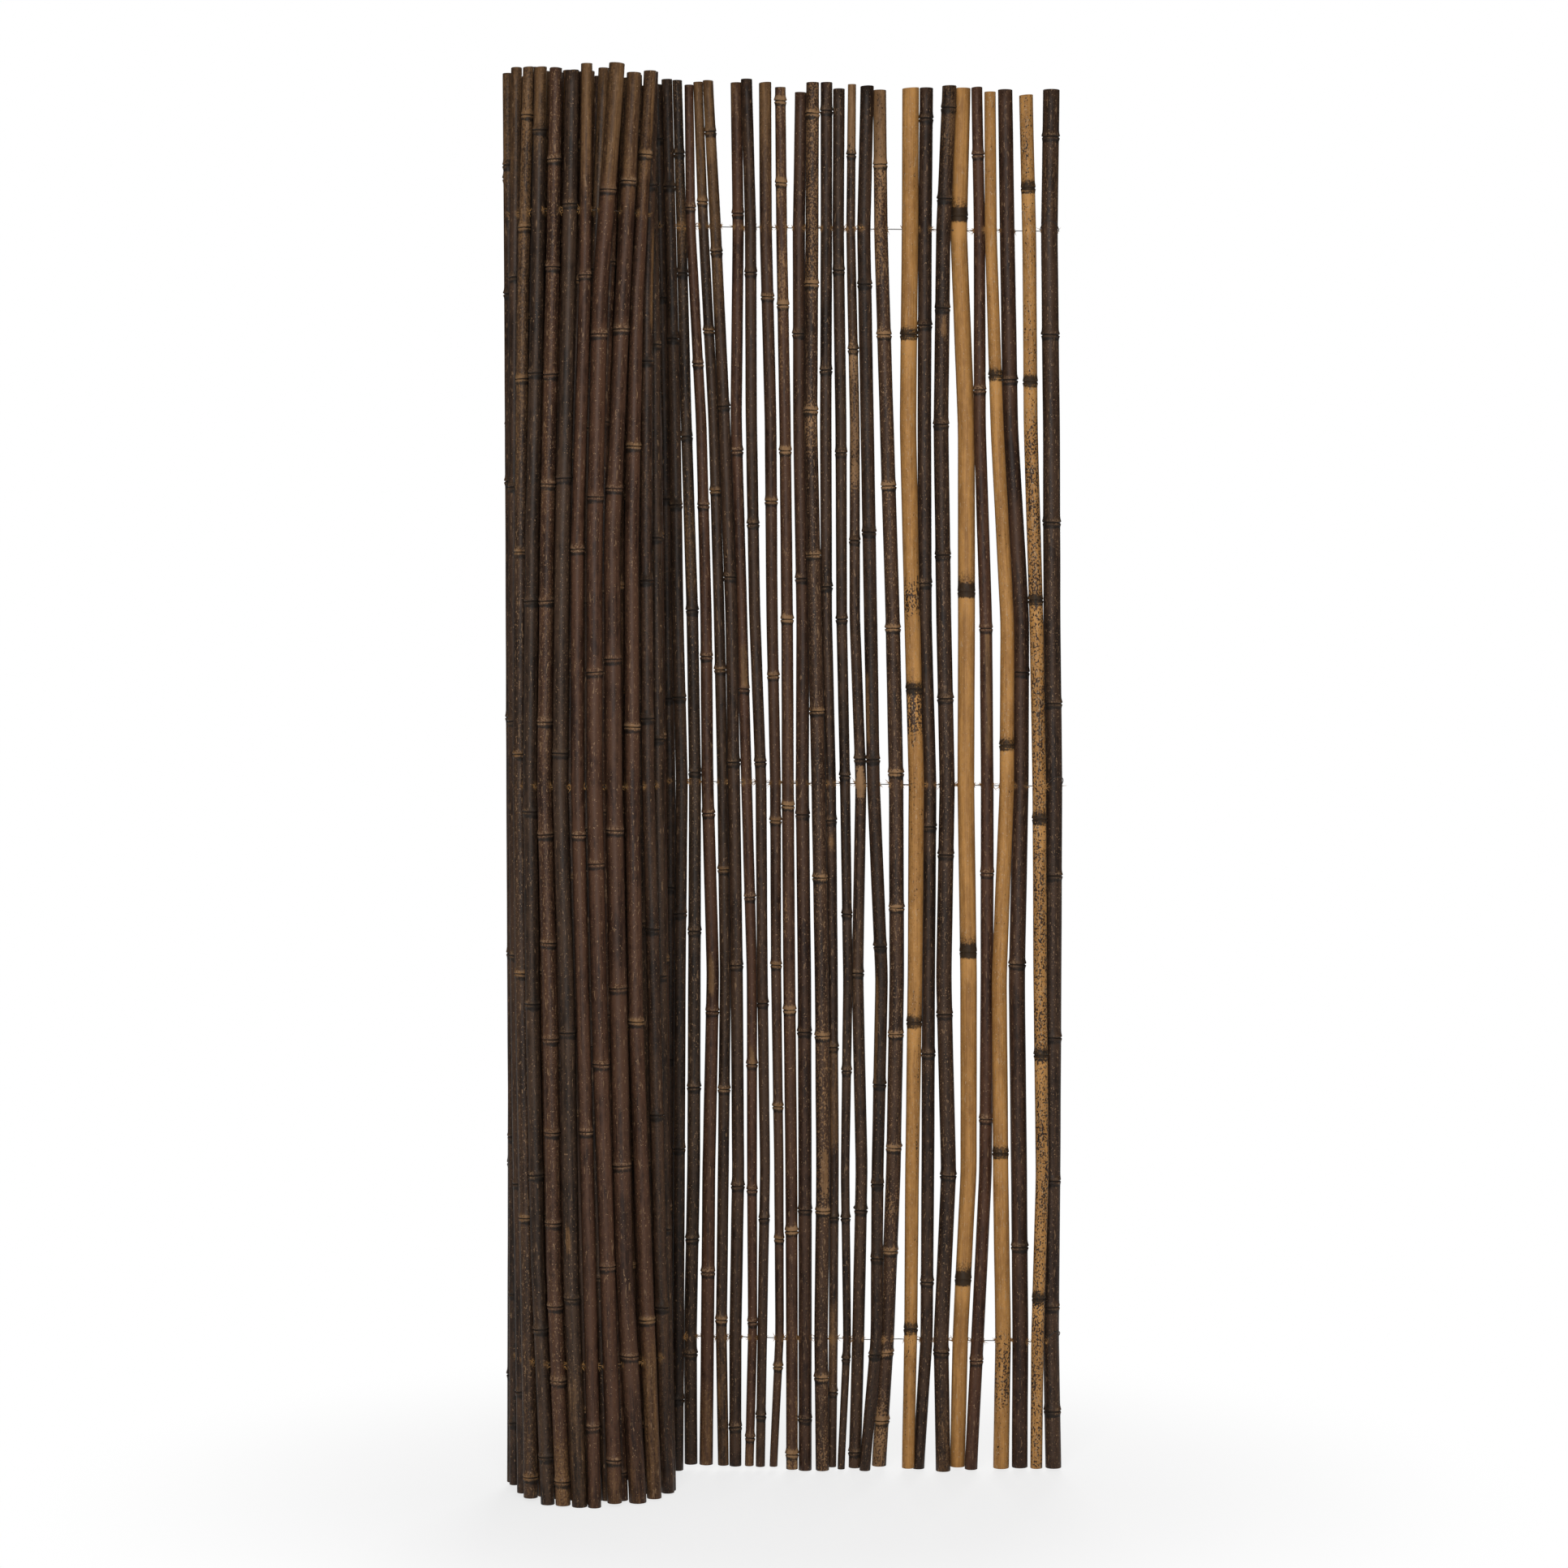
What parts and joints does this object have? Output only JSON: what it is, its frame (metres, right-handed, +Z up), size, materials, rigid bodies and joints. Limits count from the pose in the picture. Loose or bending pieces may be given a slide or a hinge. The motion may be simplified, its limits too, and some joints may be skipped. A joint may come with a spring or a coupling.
{
  "type": "bamboo fence mat",
  "caption": "Tall roll-out fence mat of dark bamboo canes threaded on thin wires, one half standing open as a panel, the other half still rolled up.",
  "frame": {"origin": "middle of the mat's footprint, on the ground under the lowest canes", "axes": "+Z up along the canes, +X along the panel away from the roll, -Y the front that shows the roll"},
  "size_m": [0.8059, 0.2728, 2.016],
  "materials": {
    "dark_bamboo": "satin, near-black",
    "reddish_bamboo": "satin, red-brown",
    "mottled_bamboo": "satin, dark stain flaking to gold",
    "golden_bamboo": "satin, golden brown",
    "wire": "dull, darkened"
  },
  "bodies": {
    "root": {"panel_cane_01": "dark_bamboo", "panel_cane_02": "dark_bamboo", "panel_cane_03": "dark_bamboo", "panel_cane_04": "reddish_bamboo", "panel_cane_05": "dark_bamboo", "panel_cane_06": "dark_bamboo", "panel_cane_07": "reddish_bamboo", "panel_cane_08": "dark_bamboo", "panel_cane_09": "dark_bamboo", "panel_cane_10": "mottled_bamboo", "panel_cane_11": "dark_bamboo", "panel_cane_12": "mottled_bamboo", "panel_cane_13": "dark_bamboo", "panel_cane_14": "dark_bamboo", "panel_cane_15": "mottled_bamboo", "panel_cane_16": "dark_bamboo", "panel_cane_17": "mottled_bamboo", "panel_cane_18": "golden_bamboo", "panel_cane_19": "dark_bamboo", "panel_cane_20": "dark_bamboo", "panel_cane_21": "golden_bamboo", "panel_cane_22": "reddish_bamboo", "panel_cane_23": "golden_bamboo", "panel_cane_24": "dark_bamboo", "panel_cane_25": "golden_bamboo", "panel_cane_26": "dark_bamboo", "roll_front_cane_01": "dark_bamboo", "roll_front_cane_02": "dark_bamboo", "roll_front_cane_03": "dark_bamboo", "roll_front_cane_04": "dark_bamboo", "roll_front_cane_05": "dark_bamboo", "roll_front_cane_06": "dark_bamboo", "roll_front_cane_07": "dark_bamboo", "roll_front_cane_08": "reddish_bamboo", "roll_front_cane_09": "reddish_bamboo", "roll_front_cane_10": "reddish_bamboo", "roll_front_cane_11": "reddish_bamboo", "roll_front_cane_12": "dark_bamboo", "roll_front_cane_13": "dark_bamboo", "roll_back_canes_1": "dark_bamboo", "roll_back_canes_2": "dark_bamboo", "roll_back_canes_3": "dark_bamboo", "roll_back_canes_4": "dark_bamboo", "roll_side_canes_1": "dark_bamboo", "roll_side_canes_2": "dark_bamboo", "roll_side_canes_3": "dark_bamboo", "second_turn_canes_1": "dark_bamboo", "second_turn_canes_2": "dark_bamboo", "second_turn_canes_3": "dark_bamboo", "second_turn_canes_4": "dark_bamboo", "second_turn_canes_5": "dark_bamboo", "second_turn_canes_6": "dark_bamboo", "second_turn_canes_7": "dark_bamboo", "second_turn_canes_8": "dark_bamboo", "third_turn_canes_1": "dark_bamboo", "third_turn_canes_2": "dark_bamboo", "third_turn_canes_3": "dark_bamboo", "bottom_wire": "wire", "middle_wire": "wire", "top_wire": "wire"}
  },
  "joints": []
}
